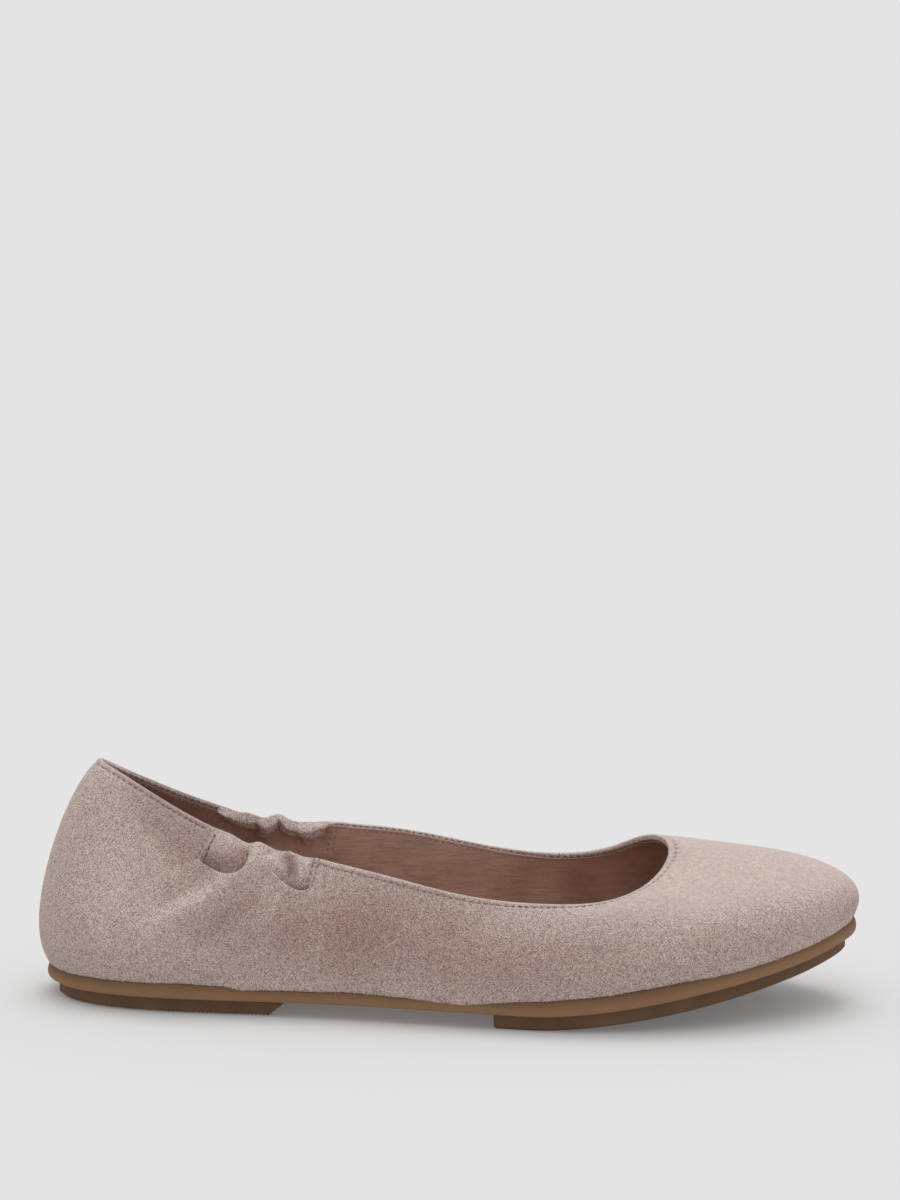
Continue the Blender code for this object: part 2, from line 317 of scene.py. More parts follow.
def refined(bm, line):
    """Divides the faces under the collar and round the gathers again."""
    along, below = line.read([v.co for v in bm.verts])
    bm.verts.index_update()
    low, high, deep = GATHER_ZONE

    def fine(vert):
        drop = below[vert.index]
        return drop < STITCH_ZONE or (low < vert.co.x < high and drop < deep)

    chosen = [e for e in bm.edges if fine(e.verts[0]) and fine(e.verts[1]) and e.calc_length() > FINE_EDGE]
    bmesh.ops.subdivide_edges(bm, edges=chosen, cuts=3, smooth=1.0, use_grid_fill=True)


def skin(index, line):
    """One of the two skins, as its own refined mesh."""
    bm = wall.copy()
    bmesh.ops.delete(bm, geom=[face for face in bm.faces if face.material_index != index], context="FACES")
    for face in bm.faces:
        face.material_index = 0
    refined(bm, line)
    return bm


suede, lining = skin(0, outside_line), skin(1, inside_line)
wall.free()
print("suede", len(suede.faces), "faces, lining", len(lining.faces), "faces")

# %% [markdown]
# ## Puckers, folds and creases
#
# An elastic runs inside the collar on each side of the heel, between two bars of stitches. It gathers the
# suede into soft puffs with a crevice under each, and the slack hangs from there in one long drape towards
# the heel. Cloth simulation could find such folds, but not these ones. So each is placed as a line
# on the side of the shoe in millimetres: from the middle of the shoe forward, and up from the ground.

# %% Folds in the shoe's own sizes
Fold = namedtuple("Fold", "line lift width")  # lift out of the surface, width to each side
FOLDS = {
    "drape to the heel": Fold([(-57.8, 45.0), (-61.0, 42.2), (-64.0, 39.2), (-67.2, 36.4),
                               (-71.2, 33.6), (-79.4, 29.8), (-84.5, 26.3), (-92.0, 21.0)], 2.0, 3.2),
    "trough above the drape": Fold([(-66.0, 41.6), (-71.5, 39.2), (-78.0, 36.0), (-88.0, 31.0)], -0.8, 3.0),
    "trough below the drape": Fold([(-49.0, 38.5), (-58.0, 33.5), (-67.0, 27.5), (-78.0, 21.0)], -1.2, 4.4),
    "swell behind the last puff": Fold([(-51.0, 48.0), (-49.6, 44.0), (-46.5, 41.5)], 0.8, 1.9),
    "steep fold of the last puff": Fold([(-46.2, 48.5), (-45.0, 45.0), (-43.2, 41.0)], -1.3, 1.5),
    "rise before the front bars": Fold([(-41.0, 48.0), (-41.2, 44.0), (-40.4, 40.8)], 0.5, 1.2),
    "dip over the middle swell": Fold([(-58.3, 50.5), (-57.2, 47.5), (-57.0, 45.5)], -0.35, 0.9),
}
# A pocket is a puff's underside, and the lip it rests on. Its crevice is painted dark, as painted shade, from some
# share of its line on.
Pocket = namedtuple("Pocket", "line depth inner lip outer dark_from")
POCKETS = {
    "under the first puff": Pocket([(-73.4, 46.8), (-68.1, 43.9), (-63.2, 42.5), (-59.6, 43.9), (-57.9, 47.0),
                                    (-57.9, 50.5)], 1.4, 2.3, 0.65, 2.4, 0.0),
    "under the last puff": Pocket([(-50.2, 43.9), (-45.6, 40.4), (-41.2, 38.9), (-37.4, 39.8)],
                                  1.1, 1.5, 0.4, 2.2, 0.45),
}
Puff = namedtuple("Puff", "x z reach_x reach_z lift")
PUFFS = {
    "first puff": Puff(-64.8, 48.2, 8.0, 6.0, 1.5),
    "middle swell": Puff(-54.0, 47.2, 4.8, 6.8, 1.2),
    "small puff": Puff(-48.6, 45.8, 3.4, 5.4, 0.5),
    "last puff": Puff(-41.0, 44.0, 3.8, 5.6, 0.7),
}
LINING_FOLDS = {
    "seam of the toe lining": Fold([(53.6, 38.8), (57.1, 33.2), (60.3, 29.4), (66.0, 22.0)], -0.3, 0.35),
    "step beside that seam": Fold([(52.4, 38.4), (55.9, 32.8), (59.1, 29.0), (64.8, 21.6)], 0.22, 0.8),
    "fold under the casing": Fold([(-62.0, 46.0), (-57.5, 44.4), (-53.2, 45.4)], 0.55, 0.9),
    "pinch under the casing": Fold([(-46.8, 46.0), (-47.2, 40.5)], -0.4, 0.6),
    "long soft wrinkle": Fold([(-60.0, 39.0), (-48.0, 37.5), (-36.0, 38.0)], 0.35, 1.8),
}
EDGE_LIFTS = {  # lateral and medial side, distance forward: rise of the edge, in mm
    -1: {-63.0: 0.1, -57.8: -0.5, -54.4: 0.5, -49.0: -0.3, -44.8: 0.5, -40.7: -0.3, -37.0: 0.3},
    1: {-68.5: -0.2, -65.2: -0.9, -62.5: -0.2, -59.5: 0.6, -56.6: 0.1, -53.5: 0.6, -50.5: -0.2, -47.6: 0.1,
        -44.0: -0.3, -41.5: 0.0, -38.5: 0.7, -36.0: 0.5},
}
LINE_REACH = 14 * MM  # farther away, a line changes nothing
FAR = 1e9
FOLD_FADE, POCKET_FADE = 0.25, 0.15  # the share of a line over which each of its ends dies out
POCKET_STEP = 0.55  # how wide the steep step is, in mm


def to_line(line, all_x, all_z):
    """Distance to a drawn line, more than 0 on its left, and the share of it passed, seen from the side."""
    knots = np.array(line) * MM
    steered = np.vstack([2 * knots[0] - knots[1], knots, 2 * knots[-1] - knots[-2]])
    ends = np.vstack([curve_through(steered, 6), knots[-1:]])
    lengths = np.linalg.norm(np.diff(ends, axis=0), axis=1)
    low, high = ends.min(axis=0) - LINE_REACH, ends.max(axis=0) + LINE_REACH
    close = (all_x > low[0]) & (all_x < high[0]) & (all_z > low[1]) & (all_z < high[1])
    x, z = all_x[close], all_z[close]
    nearest, share = np.full(len(x), FAR), np.zeros(len(x))
    passed = 0.0
    for start, end, length in zip(ends, ends[1:], lengths):
        step = (end - start) / length
        run = np.clip((x - start[0]) * step[0] + (z - start[1]) * step[1], 0, length)
        off_x, off_z = x - start[0] - run * step[0], z - start[1] - run * step[1]
        side = np.where(step[0] * off_z - step[1] * off_x < 0, -1, 1)
        gap = np.hypot(off_x, off_z)
        closer = gap < abs(nearest)
        nearest = np.where(closer, side * gap, nearest)
        share = np.where(closer, (passed + run) / lengths.sum(), share)
        passed += length
    gaps, shares = np.full(len(all_x), FAR), np.zeros(len(all_x))
    gaps[close], shares[close] = nearest, share
    return gaps, shares


def fold_lift(folds, places):
    """The sum of some folds at each place, in metres."""
    lift = np.zeros(len(places))
    for fold in folds:
        gap, share = to_line(fold.line, places[:, 0], places[:, 2])
        ends = smooth_step(np.minimum(share, 1 - share) / FOLD_FADE)
        lift += fold.lift * MM * ends * np.exp(-((gap / (fold.width * MM)) ** 2))
    return lift


def pocket_lift(places):
    """The steep steps under the puffs, and how dark their crevices are painted, as painted shade."""
    lift, dark = np.zeros(len(places)), np.zeros(len(places))
    for pocket in POCKETS.values():
        gap, share = to_line(pocket.line, places[:, 0], places[:, 2])
        gap, ends = gap / MM, smooth_step(np.minimum(share, 1 - share) / POCKET_FADE)
        under = -pocket.depth * np.exp(-((np.clip(gap, 0, None) / pocket.inner) ** 2))
        climb = smooth_step(-gap / POCKET_STEP)
        lip = pocket.lip * np.exp(-((np.clip(-gap - POCKET_STEP, 0, None) / pocket.outer) ** 2))
        lift += ends * MM * np.where(gap > 0, under, -pocket.depth * (1 - climb) + lip * climb)
        # Painted shade: the crevice under each puff is painted dark, from dark_from along its line.
        seen = smooth_step((share - pocket.dark_from) / 0.2)
        dark = np.maximum(dark, seen * ends * np.exp(-(((gap + 0.05) / 0.22) ** 2)))
    return lift, dark


def puff_lift(places):
    """The domes of the puffs."""
    lift, x, z = np.zeros(len(places)), places[:, 0] / MM, places[:, 2] / MM
    for puff in PUFFS.values():
        away = ((x - puff.x) / puff.reach_x) ** 2 + ((z - puff.z) / puff.reach_z) ** 2
        lift += puff.lift * MM * np.clip(1 - away, 0, 1) ** 1.5
    return lift


print("outside", len(FOLDS), "folds,", len(POCKETS), "pockets and", len(PUFFS), "puffs")
print("in the lining", len(LINING_FOLDS), "folds")

# %% [markdown]
# ## Stitches
#
# One row of lockstitch follows the collar 1.7 mm under its edge, about 2 mm a stitch. It stops at the elastic,
# where two short columns of the same stitch close each end of the casing. Each stitch pulls the suede in,
# with a needle hole at both of its ends, so the rows are pressed into the skins as well as laid on them.

# %% Stitch rows
PITCH = 2.06 * MM
ROW_DROP = 1.7 * MM
BAR_PITCH = 1.75 * MM
BAR_PLACES = (-70.0, -37.2)
ROW_GROOVE, ROW_HOLE = 0.14 * MM, 0.24 * MM  # how deep the thread and the needle press the skin
BAR_GROOVE, BAR_HOLE = 0.14 * MM, 0.25 * MM
TURNED_SWELL = 0.12 * MM  # of the turned edge above the row
BARS = {  # top and bottom of each column, and how much its holes show
    ((-68.0, 52.3), (-71.0, 45.4)): 1.3, ((-69.8, 52.6), (-73.1, 46.4)): 0.8,
    ((-37.3, 47.0), (-39.0, 39.6)): 0.9, ((-35.7, 47.0), (-37.5, 39.9)): 0.8,
}


def along_at(line, x, side):
    """How far along the line it passes x, on one side of the shoe."""
    there = np.sign(line.points[:, 1]) == side
    return line.along[np.where(there, abs(line.points[:, 0] - x * MM), FAR).argmin()]


def row_spans(line):
    """The parts of the line with a stitch row: between the front bars, and round the heel."""
    rear, front = BAR_PLACES
    return [(along_at(line, front, -1), along_at(line, front, 1)),
            (along_at(line, rear, 1), along_at(line, rear, -1) + line.length)]


def row_press(line, along, below):
    """The groove of the row and the turned edge above it, as a lift, and its needle holes."""
    lift, holes = np.zeros(len(along)), np.zeros(len(along))
    gap = (below - ROW_DROP) / MM
    for start, end in row_spans(line):
        place = np.where(along < start, along + line.length, along)
        inside = smooth_step((place - start) / PITCH + 0.5) * smooth_step((end - place) / PITCH + 0.5)
        phase = 0.5 - abs(np.mod((place - start) / PITCH, 1) - 0.5)  # 0 at a needle hole
        hole = inside * np.exp(-((gap / 0.22) ** 2) - ((phase * PITCH / MM / 0.55) ** 2))
        lift -= inside * ROW_GROOVE * np.exp(-((gap / 0.4) ** 2)) + ROW_HOLE * hole
        lift += inside * TURNED_SWELL * np.clip(1 - ((below / MM - 0.8) / 0.8) ** 2, 0, 1)
        holes = np.maximum(holes, hole)
    return lift, holes


def bar_press(places):
    """The same for the short columns at the ends of the elastic."""
    lift, holes = np.zeros(len(places)), np.zeros(len(places))
    for (top, bottom), seen in BARS.items():
        gap, share = to_line([top, bottom], places[:, 0], places[:, 2])
        length = math.dist(top, bottom) * MM
        count = round(length / BAR_PITCH)
        phase = 0.5 - abs(np.mod(share * count, 1) - 0.5)
        hole = seen * np.exp(-((gap / (0.27 * MM)) ** 2) - ((phase * length / count / (0.60 * MM)) ** 2))
        inside = (share > 0) & (share < 1)
        lift -= np.where(inside, BAR_GROOVE * np.exp(-((gap / (0.5 * MM)) ** 2)), 0) + BAR_HOLE * hole
        holes = np.maximum(holes, hole)
    return lift, holes


print("outside rows", [(round(a / MM), round(b / MM)) for a, b in row_spans(outside_line)], "mm along the collar")

# %% [markdown]
# ## One function for the shape of the wall
#
# All of this is now one function, which says where any place of a skin ends up. The meshes go through it, and
# so do the stitches later, which keeps thread and hole together.

# %% The shape of the wall
EDGE_REACH = 4.5 * MM  # how far down the wall the gathered edge is felt
GATHERS = (-98 * MM, -22 * MM)
SIDEWAYS, UPWARDS = 0.87, 0.5  # the way in which folds stand out
LINING_DEPTH = 0.28 * MM
LINING_LEAST, LINING_MOST = -0.3 * MM, 0.9 * MM  # the lining lies flatter than the suede


def edge_lift(places, below):
    """The small rises and dips of the gathered edge."""
    lift = np.zeros(len(places))
    for side, table in EDGE_LIFTS.items():
        at = np.array([min(table) - 6, *sorted(table), max(table) + 5]) * MM
        heights = np.array([0, *(table[key] for key in sorted(table)), 0]) * MM
        fine = np.linspace(at[0], at[-1], 240)
        window = np.hanning(19)
        soft = np.convolve(np.pad(np.interp(fine, at, heights), 9), window / window.sum(), "valid")
        lift += np.where(np.sign(places[:, 1]) == side, np.interp(places[:, 0], fine, soft, 0, 0), 0)
    return lift * np.exp(-((below / EDGE_REACH) ** 2))


def shaped(places, facing, line, outside):
    """Where places of the wall end up, how dark they are painted as painted shade in crevices and needle holes, how
    far below the edge, and how far folds lift them.
    """
    along, below = line.read(places)
    near = (places[:, 0] > GATHERS[0]) & (places[:, 0] < GATHERS[1])
    folds = np.where(near, fold_lift(FOLDS.values(), places) + puff_lift(places), 0)
    steps, dark = pocket_lift(places)
    press, holes = row_press(line, along, below)
    bars, bar_holes = bar_press(places)
    press += bars
    holes = np.clip(np.maximum(0.8 * holes, bar_holes), 0, 1)
    if outside:
        folds += steps
        # Painted shade: the crevices under the puffs and the suede's needle holes are painted dark.
        dark = np.maximum(dark, holes)
        press *= smooth_step(below / (0.5 * MM))
    else:
        folds = np.clip(folds, LINING_LEAST, LINING_MOST)
        press = 0.6 * press + fold_lift(LINING_FOLDS.values(), places) + LINING_DEPTH
        # Painted shade: the lining's needle holes are painted half as dark.
        dark = 0.5 * holes
    out = np.column_stack([np.zeros(len(places)), SIDEWAYS * np.sign(places[:, 1]), np.full(len(places), UPWARDS)])
    moved = places + out * folds[:, None] + facing * press[:, None]
    moved[:, 2] += edge_lift(places, below)
    return moved, dark, below, folds


print("the gathers run from", GATHERS[0] / MM, "to", GATHERS[1] / MM, "mm")

# %% [markdown]
# Hands and wear stroke the nap of suede into broad patches, and the hollows are pinker. The patches are also
# lighter or darker, partly from stroked nap and partly as painted shade where hollows lie in shade and painted
# light where the parts that stand out catch it. The photograph shows where, so a table places them. It gives
# each patch's middle and reach in millimetres, how pink it is, and how much lighter or darker.

# %% Patches in the nap
Patch = namedtuple("Patch", "x z reach_x reach_z pink shade")
PATCHES = [
    Patch(-91, 64, 10, 7, 0.25, -0.6), Patch(-83, 57, 11, 8, 0.5, -0.9), Patch(-75, 50, 10, 8, 0.7, -0.9),
    Patch(-64, 46.5, 5, 4, 0.8, -0.9), Patch(-98, 38, 15, 15, -0.5, 0.7), Patch(-88, 24, 18, 9, -0.3, 0.3),
    Patch(-54, 46, 4, 5, -0.4, 0.35), Patch(-43.6, 44.4, 1.8, 4, 1.0, -1.0), Patch(-43.5, 27, 6, 9, 0.5, -0.45),
    Patch(-58, 26, 12, 10, 0.0, -0.6), Patch(-26, 26, 13, 12, 0.6, -0.6), Patch(-6, 30, 24, 16, 0.4, -0.5),
    Patch(24, 20, 24, 10, 0.4, -0.4), Patch(48, 28, 16, 10, 0.2, -0.35), Patch(66, 20, 10, 6, 0.0, 0.2),
    Patch(62, 36, 14, 7, 0.0, -0.3), Patch(114, 24, 12, 12, -0.2, 0.5),
]


def stroked_and_painted_shade(places):
    """How pink the nap is at each place, and how much lighter or darker: partly stroked nap, partly painted shade and
    painted light.
    """
    pink, shade = np.zeros(len(places)), np.zeros(len(places))
    x, z = places[:, 0] / MM, places[:, 2] / MM
    for patch in PATCHES:
        soft = np.exp(-((x - patch.x) / patch.reach_x) ** 2 - ((z - patch.z) / patch.reach_z) ** 2)
        pink += patch.pink * soft
        shade += patch.shade * soft
    return pink, shade


print(len(PATCHES), "patches")

# %% [markdown]
# The lower edge of the suede is cut, not turned, and it laps over the top of the rubber. It waves a little
# along the sole, as a table gives for the lateral side, and is slightly ragged, as a noise gives.

# %% Shape the suede
def facing_of(bm):
    """The way that each vertex faces."""
    bm.normal_update()
    return np.array([v.normal for v in bm.verts])


def set_places(bm, places):
    for vert, place in zip(bm.verts, places):
        vert.co = place


def ragged(places, size, seed):
    """A noise between about -1 and 1 with grains of this size."""
    return np.array([noise.noise(Vector(place) / size + Vector((seed, 0, 0))) for place in places])


SOLE_WAVE = {  # distance forward: how far the suede's edge hangs over the rubber, in mm
    -125: 0.2, -112: 0.2, -104: 0.1, -96: 0.2, -88: 0.1, -82: 0.0, -76: -0.2, -70: 0.1, -64: 0.2, -58: 1.2, -52: 0.9,
    -44: 0.8, -36: 0.8, -28: 0.5, -18: 0.75, -8: 1.15, 2: 1.9, 8: 2.2, 16: 1.2, 24: 0.3, 32: -0.1, 40: -0.5, 52: -0.5,
    62: -0.7, 74: -0.5, 82: 0.3, 90: 0.75, 100: 0.9, 110: 0.9, 117: 0.8, 121.5: 0.5, 125: -1.0,
}


HANG_REACH = 1.3 * MM  # how high up the wall the hanging edge is felt
FRAY_REACH = 0.5 * MM
LAP_REACH = 2.2 * MM
LAP = 0.32 * MM  # how far the edge stands out over the rubber


def from_table(table, x):
    """Reads a table of distances forward in mm. The places and the answer are in metres."""
    return np.interp(x / MM, sorted(table), [table[key] for key in sorted(table)]) * MM


suede_ground = BVHTree.FromBMesh(suede)
start = places_of(suede)
facing = facing_of(suede)
moved, dark, below, folds = shaped(start, facing, outside_line, True)
_, above_sole = sole_line.read(start)
low = np.exp(-((above_sole / HANG_REACH) ** 2))
drop = from_table(SOLE_WAVE, start[:, 0])
fray = 0.20 * MM * ragged(start, 0.45 * MM, 3) + 0.10 * MM * ragged(start, 1.6 * MM, 9)
moved[:, 2] -= low * (drop + np.exp(-((above_sole / FRAY_REACH) ** 2)) * fray)
plan = facing * (1, 1, 0)
plan /= np.maximum(np.linalg.norm(plan, axis=1, keepdims=True), 1e-9)
lap = LAP + 0.5 * np.clip(drop, 0, 1.0 * MM) + 0.05 * np.maximum(drop, 0)
moved += plan * (np.exp(-((above_sole / LAP_REACH) ** 2)) * lap)[:, None]
set_places(suede, moved)
suede_piece = add_piece("upper_suede", suede, "suede", "upper")
# The crevice values are painted shade in crevices and needle holes. The shade values are the patches' tone together
# with their painted shade and light.
for name, values in zip(("crevice_shade", "raised", "pink", "shade"), (dark, folds / MM, *stroked_and_painted_shade(start))):
    keep_value(suede_piece, name, values)

# %% [markdown]
# The lining lies about a quarter of a millimetre deeper than the turned suede, so its top edge shows as a
# thin step with a dark line of painted shade over it. A live Solidify would thicken the whole lining. Only the top
# edge is seen, so only that is extruded back towards the suede.

# %% Shape the lining
LIP = 0.4 * MM

lining_ground = BVHTree.FromBMesh(lining)
start = places_of(lining)
facing = facing_of(lining)
moved, dark, lining_below, _ = shaped(start, facing, inside_line, False)
set_places(lining, moved)
top_edge = [e for e in lining.edges if e.is_boundary and lining_below[e.verts[0].index] < 6 * MM]
extruded = bmesh.ops.extrude_edge_only(lining, edges=top_edge)["geom"]
lip = [item for item in extruded if isinstance(item, bmesh.types.BMVert)]
for vert in lip:
    normal = lining_ground.find_nearest(vert.co)[1]
    vert.co = vert.co - normal * LIP
lining_piece = add_piece("upper_lining", lining, "lining_leather", "upper")
# Painted shade: the lip along the lining's top edge is painted fully dark, as the shadow line under the step.
keep_value(lining_piece, "crevice_shade", np.concatenate([dark, np.ones(len(lip))]))

# %% [markdown]
# Thread is laid as one small bead a stitch. A bead is a sphere drawn out to the stitch's length, so its ends
# dive into the needle holes. It has few faces, because there are hundreds of them.

# %% Lay the thread
ROW_THREAD = {"outside": 0.17 * MM, "inside": 0.22 * MM}  # half the thickness of a stitch
BAR_THREAD = {"outside": 0.17 * MM, "inside": 0.24 * MM}


def under_edge(line, ground, along, below):
    """Places on a skin at some distance under the collar, with the skin's direction there."""
    places, facing = [], []
    for spot, depth in zip(line.point(along), np.broadcast_to(below, np.shape(along))):
        spot = Vector(spot)
        guess = spot - Vector((0, 0, depth))
        for _ in range(3):
            away = ground.find_nearest(guess)[0] - spot
            guess = spot + away * (depth / max(away.length, 1e-6))
        near, normal, _, _ = ground.find_nearest(guess)
        places.append(near)
        facing.append(normal)
    return np.array(places), np.array(facing)


def on_side(ground, spots, side, outside):
    """The places on a skin with the given distances forward and up, on one side of the shoe."""
    places, facing = [], []
    for x, z in spots:
        origin = Vector((x * MM, side * 0.08 if outside else 0, z * MM))
        near, normal, _, _ = ground.ray_cast(origin, Vector((0, -side if outside else side, 0)))
        if near is None:  # the spot is over the edge there
            near, normal, _, _ = ground.find_nearest(Vector((x * MM, side * 0.02, z * MM)))
        places.append(near)
        facing.append(normal)
    return np.array(places), np.array(facing)


def add_bead(bm, bead):
    """One stitch from hole to hole."""
    start, end, facing, thick = bead
    run = Vector(end) - Vector(start)
    across = run.normalized().cross(Vector(facing)).normalized()
    up = across.cross(run.normalized())
    turn = Matrix((across * thick, up * thick * 0.8, run / 2)).transposed().to_4x4()
    turn.translation = (Vector(start) + Vector(end)) / 2 + Vector(facing) * thick * 0.35
    bmesh.ops.create_uvsphere(bm, u_segments=6, v_segments=5, radius=1, matrix=turn)


def piled(shapes, make, lot=60):
    """One mesh of many small shapes, made in small lots, because an operator slows down in a large mesh."""
    pile = bmesh.new()
    for first in range(0, len(shapes), lot):
        part = bmesh.new()
        for shape in shapes[first:first + lot]:
            make(part, shape)
        mesh = bpy.data.meshes.new("lot")
        part.to_mesh(mesh)
        part.free()
        pile.from_mesh(mesh)
        bpy.data.meshes.remove(mesh)
    return pile


def stitches(line, ground, outside):
    """The beads of all the rows and bars of one skin."""
    beads, skin_name = [], "outside" if outside else "inside"
    for start, end in row_spans(line):
        holes = np.arange(start, end, PITCH)
        pairs = np.column_stack([holes[:-1] + 0.2 * MM, holes[1:] - 0.2 * MM]).ravel()
        places, facing = under_edge(line, ground, pairs, ROW_DROP)
        places = shaped(places, facing, line, outside)[0]
        beads += [(*ends, ROW_THREAD[skin_name]) for ends in zip(places[::2], places[1::2], facing[::2])]
    for side in (-1, 1):
        for top, bottom in BARS:
            count = round(math.dist(top, bottom) * MM / BAR_PITCH)
            share = np.column_stack([np.arange(count) + 0.1, np.arange(count) + 0.9]).ravel() / count
            spots = np.array(top) + share[:, None] * (np.array(bottom) - np.array(top))
            places, facing = on_side(ground, spots, side, outside)
            places = shaped(places, facing, line, outside)[0]
            beads += [(*ends, BAR_THREAD[skin_name]) for ends in zip(places[::2], places[1::2], facing[::2])]
    return beads


outer_thread = add_piece("collar_stitches", piled(stitches(outside_line, suede_ground, True), add_bead), "thread")
inner_thread = add_piece("lining_stitches", piled(stitches(inside_line, lining_ground, False), add_bead), "thread")

# %% [markdown]
# ## The elastic casings
#
# On the inside, a strip of suede is folded over the elastic. The gathers push it into puffs with a cut edge
# painted pale, partly its own colour and partly a painted highlight. The creases between the puffs get painted
# shade, and the whole strip is painted paler as painted light. Each strip starts as a flat grid. Its columns
# follow the collar, its rows go down the lining, and a table gives its height and how far it puffs out.

# %% Elastic casings
CASING = {  # distance forward: height of the strip, and how far it puffs out, in mm
    -71.4: (1.8, 0.1), -70.2: (2.8, 0.8), -67.0: (4.0, 1.35), -63.5: (4.7, 1.5), -61.2: (4.4, 1.1), -59.8: (3.6, 0.3),
    -58.5: (4.5, 1.1), -56.5: (4.9, 1.35), -54.7: (4.5, 1.0), -53.5: (3.6, 0.2), -52.3: (4.4, 1.1), -49.8: (5.0, 1.5),
    -47.6: (4.6, 1.05), -45.2: (4.9, 1.4), -42.0: (4.8, 1.35), -39.9: (4.1, 0.9), -38.6: (3.3, 0.1),
}
CASING_THICK = 0.5 * MM
CASING_COLUMNS, CASING_ROWS = 120, 26


def casing(name, side, node):
    """The strip over the elastic on one side of the shoe."""
    bm = bmesh.new()
    bmesh.ops.create_grid(bm, x_segments=CASING_COLUMNS, y_segments=CASING_ROWS, size=0.5)
    share = places_of(bm)[:, :2] + 0.5
    at = np.array(sorted(CASING))
    x = at[0] + share[:, 0] * (at[-1] - at[0])
    height = np.interp(x, at, [CASING[key][0] for key in at]) * MM
    puff = np.interp(x, at, [CASING[key][1] for key in at]) * MM
    columns, column = np.unique(np.round(x, 3), return_inverse=True)
    inner = np.array([along_at(inside_line, value, side) for value in columns])[column]
    outer = np.array([along_at(outside_line, value, side) for value in columns])[column]
    down = share[:, 1]
    places, facing = under_edge(inside_line, lining_ground, inner, np.maximum(height * down, 0.15 * MM))
    base = shaped(places, facing, inside_line, False)[0]
    rim = (inside_line.point(inner) + outside_line.point(outer)) / 2
    rim[:, 2] += edge_lift(rim, np.zeros(len(rim))) + 0.15 * MM + 0.25 * puff
    swell = puff * np.clip(3.2 * (down + 0.04), 0, 1) ** 0.55 * smooth_step((1.15 - down) / 0.4) + CASING_THICK
    swell *= smooth_step((1 - down) / 0.05)
    rolled = smooth_step(down / 0.24)[:, None]
    set_places(bm, rim * (1 - rolled) + (base + facing * swell[:, None]) * rolled)
    bmesh.ops.recalc_face_normals(bm, faces=bm.faces)
    if sum(face.normal.y for face in bm.faces) * side > 0:
        bmesh.ops.reverse_faces(bm, faces=bm.faces)
    piece = add_piece(name, bm, "suede", node)
    # Painted shade in the creases between the puffs and at a row of stitch dashes, a painted highlight on the cut
    # edge, and painted light over the whole strip.
    dashes = np.exp(-(((down - 0.76) / 0.045) ** 2)) * smooth_step(1.6 * abs(np.mod(inner / BAR_PITCH, 1) - 0.5))
    between = np.clip(1 - puff / (1.0 * MM), 0, 1) * smooth_step(down / 0.4) * smooth_step((0.95 - down) / 0.1)
    keep_value(piece, "cut_edge_and_highlight", smooth_step((down - 0.84) / 0.05))
    keep_value(piece, "crevice_shade", np.maximum(0.75 * between, 0.9 * dashes))
    keep_value(piece, "shade", np.full(len(down), 0.6))
    return piece


casings = [casing("casing_lateral", -1, "elastic_casing_lateral"), casing("casing_medial", 1, "elastic_casing_medial")]

# %% [markdown]
# ## Insole
#
# The sock is a leather sheet over the insole. It is a little dished under the heel and rises at its edge.
# Subdivision would pull its rim far in, because the faces across the foot are long, so the flats are inset first.

# %% Insole sock
def inset_flats(bm, *widths):
    """Keeps wide flat faces from drawing in the rim under subdivision. The widest ring goes first."""
    for width in widths:
        for up in (1, -1):
            flat = [f for f in bm.faces if f.normal.z * up > 0.9]
            bmesh.ops.inset_region(bm, faces=flat, thickness=width, use_even_offset=True)


FIT_LIMIT = 0.6 * MM
SOCK_THICK = 0.22 * MM
SOCK_FORM = [  # distance forward and to the side, reach in both ways, and height, in mm
    (-92, 0, 17, 15, -0.9), (52, 4, 26, 22, -0.45), (-12, 26, 30, 10, 0.9),
]

sock = copy_of("insole")
sock.normal_update()
inset_flats(sock, 3 * MM, 0.6 * MM)
sock = subdivided(sock, 2, FIT_LIMIT)
start = places_of(sock)
facing = facing_of(sock)
x, y = start[:, 0] / MM, start[:, 1] / MM
top = smooth_step(facing[:, 2])
moved = start + facing * (SOCK_THICK * (1 - top))[:, None]
for middle_x, middle_y, reach_x, reach_y, height in SOCK_FORM:
    away = ((x - middle_x) / reach_x) ** 2 + ((y - middle_y) / reach_y) ** 2
    moved[:, 2] += top * height * np.exp(-away) * MM
set_places(sock, moved)
sock_piece = add_piece("insole_sock", sock, "insole_leather", "insole")

# %% [markdown]
# ## Midsole
#
# A moulded band of gum rubber. Its side leans out a little towards the ground, with a faint parting line where
# the two halves of the mould met. Its upper rim follows the suede's wavy edge and hides behind it, and near the
# toe its lower rim reaches over the pad. Both rims are moved by tables, because they only shift a millimetre.

# %% Midsole
MIDSOLE_BOTTOM, MIDSOLE_HEIGHT = 4.85 * MM, 4.35 * MM
PARTING_LINE = 0.02 * MM
LEAN = 0.45 * MM  # how far the side leans out at the bottom
RIM_WIDTH = 0.9 * MM
RIM_HIDDEN = 0.5 * MM  # how far the rim reaches up behind the suede
TOE_REACH = {80: 0, 88: 0.2, 100: 0.5, 110: 0.6, 126: 0.5}  # distance forward: how far the lower rim comes down


def sole_rise(x):
    """How far the sole has left the ground at x."""
    return 18 * MM * np.clip((x / MM - 30.1) / 95, 0, None) ** 1.5


